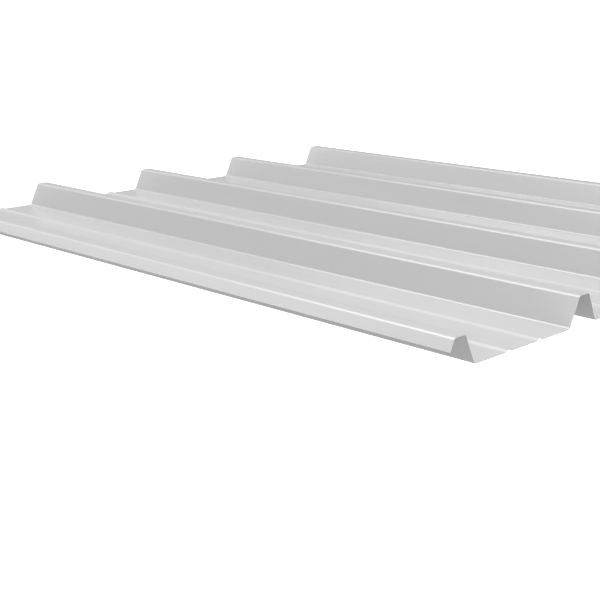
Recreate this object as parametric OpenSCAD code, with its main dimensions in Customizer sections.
/* [Sheet] */
// Length of the sheet along its ribs
sheet_length = 1200; // [300:10:6000]
// Thickness of the coated steel
sheet_t = 0.7; // [0.4:0.05:1.5]
// Number of ribs across the sheet, with the two lap ribs
rib_count = 5; // [2:1:8]

/* [Ribs] */
// Distance from one rib to the next
rib_pitch = 250; // [160:1:360]
// Depth of the profile, from the underside of the pans to the top of the crests
rib_depth = 40; // [28:0.5:60]
// Width of a rib between the sharp corners at its foot
rib_foot_w = 59; // [48:0.5:90]
// Width of a crest between its sharp corners
crest_w = 21.5; // [18:0.5:34]
// Radius of the rib's bends, at the middle of the sheet
rib_bend_r = 4.5; // [2:0.25:7]

/* [Pan beads] */
// Number of stiffening beads in each pan
bead_count = 2; // [0:1:4]
// Width of a bead between the sharp corners at its foot
bead_w = 13; // [12:0.5:20]
// Height that a bead stands above the pan
bead_h = 2.5; // [1:0.25:3.5]
// Width of the flat top of a bead between its sharp corners
bead_top_w = 3; // [2:0.25:4]
// Radius of the bead's bends, at the middle of the sheet
bead_bend_r = 2.5; // [1:0.25:3]

/* [Side laps] */
// Height of the short leg that ends the sheet under its neighbour
underlap_leg = 15; // [8:0.5:20]
// Width of the lip that ends the sheet over its neighbour
overlap_lip = 4; // [2:0.5:8]
// Angle that the lip droops below the crest
lip_droop = 20; // [5:1:60]
// Room left between two lapped sheets
lap_clearance = 0.3; // [0.1:0.05:1]

/* [Hidden] */

// Facets of each rounded bend
bend_steps = 6;

// Heights of the middle of the sheet in the pans and on the crests
pan_z = sheet_t / 2;
crest_z = rib_depth - sheet_t / 2;

// Slope of the rib's flanks from level
flank_rise = crest_z - pan_z;
flank_run = (rib_foot_w - crest_w) / 2;
flank_angle = atan2(flank_rise, flank_run);

// The underlap rib is the same rib drawn in, so that the next sheet's overlap rib lies over it with the pans level
nest = sheet_t + lap_clearance;
nest_crest_w = crest_w - 2 * nest * tan(flank_angle / 2);
nest_foot_w = rib_foot_w - 2 * nest / sin(flank_angle);
nest_crest_z = crest_z - nest;

// Beads divide each pan into equal flats
pan_w = rib_pitch - rib_foot_w;
bead_gap = pan_w / (bead_count + 1);
last_rib = rib_count - 1;

// Each corner of the sheet's middle line is [x, z, bend radius], and the two free edges have no bend
function bead_corners(x) = [
    [x - bead_w / 2, pan_z, bead_bend_r],
    [x - bead_top_w / 2, pan_z + bead_h, bead_bend_r],
    [x + bead_top_w / 2, pan_z + bead_h, bead_bend_r],
    [x + bead_w / 2, pan_z, bead_bend_r]
];

function pan_corners(rib) = [
    for (i = [1 : 1 : bead_count], p = bead_corners(rib * rib_pitch + rib_foot_w / 2 + i * bead_gap)) p
];

function rib_corners(x) = [
    [x - rib_foot_w / 2, pan_z, rib_bend_r],
    [x - crest_w / 2, crest_z, rib_bend_r],
    [x + crest_w / 2, crest_z, rib_bend_r],
    [x + rib_foot_w / 2, pan_z, rib_bend_r]
];

function underlap_corners(x) = [
    [x - nest_crest_w / 2 - underlap_leg / tan(flank_angle), nest_crest_z - underlap_leg, 0],
    [x - nest_crest_w / 2, nest_crest_z, rib_bend_r],
    [x + nest_crest_w / 2, nest_crest_z, rib_bend_r],
    [x + nest_foot_w / 2, pan_z, rib_bend_r]
];

function overlap_corners(x) = [
    [x - rib_foot_w / 2, pan_z, rib_bend_r],
    [x - crest_w / 2, crest_z, rib_bend_r],
    [x + crest_w / 2, crest_z, rib_bend_r],
    [x + crest_w / 2 + overlap_lip * cos(lip_droop), crest_z - overlap_lip * sin(lip_droop), 0]
];

middle_line = concat(
    underlap_corners(0),
    [for (rib = [1 : 1 : last_rib - 1], p = concat(pan_corners(rib - 1), rib_corners(rib * rib_pitch))) p],
    pan_corners(last_rib - 1),
    overlap_corners(last_rib * rib_pitch)
);

function heading(a, b) = atan2(b[1] - a[1], b[0] - a[0]);
function left_of(angle) = [-sin(angle), cos(angle)];

// One face of the sheet, offset to the left of the middle line, with each bend an arc about its own centre
function bend_face(before, corner, after, offset) =
    let (
        a_in = heading(before, corner),
        a_out = heading(corner, after),
        turn = a_out - a_in,
        side = sign(turn),
        reach = corner[2] * tan(abs(turn) / 2),
        start = [corner[0] - reach * cos(a_in), corner[1] - reach * sin(a_in)],
        centre = start + side * corner[2] * left_of(a_in),
        radius = corner[2] - side * offset
    )
    [for (i = [0 : bend_steps]) centre - side * radius * left_of(a_in + turn * i / bend_steps)];

function edge_face(edge, angle, offset) = [[edge[0], edge[1]] + offset * left_of(angle)];

function sheet_face(line, offset) =
    let (last = len(line) - 1)
    concat(
        edge_face(line[0], heading(line[0], line[1]), offset),
        [for (i = [1 : last - 1], p = bend_face(line[i - 1], line[i], line[i + 1], offset)) p],
        edge_face(line[last], heading(line[last - 1], line[last]), offset)
    );

function reversed(list) = [for (i = [len(list) - 1 : -1 : 0]) list[i]];

profile = concat(sheet_face(middle_line, -sheet_t / 2), reversed(sheet_face(middle_line, sheet_t / 2)));

// The origin is under the middle of the sheet's overall width and length
profile_x = [for (p = profile) p[0]];
middle_x = (min(profile_x) + max(profile_x)) / 2;

module profiled_sheet() {
    color("gainsboro")
        rotate([90, 0, 0])
            linear_extrude(sheet_length, center = true)
                translate([-middle_x, 0])
                    polygon(profile);
}

profiled_sheet();
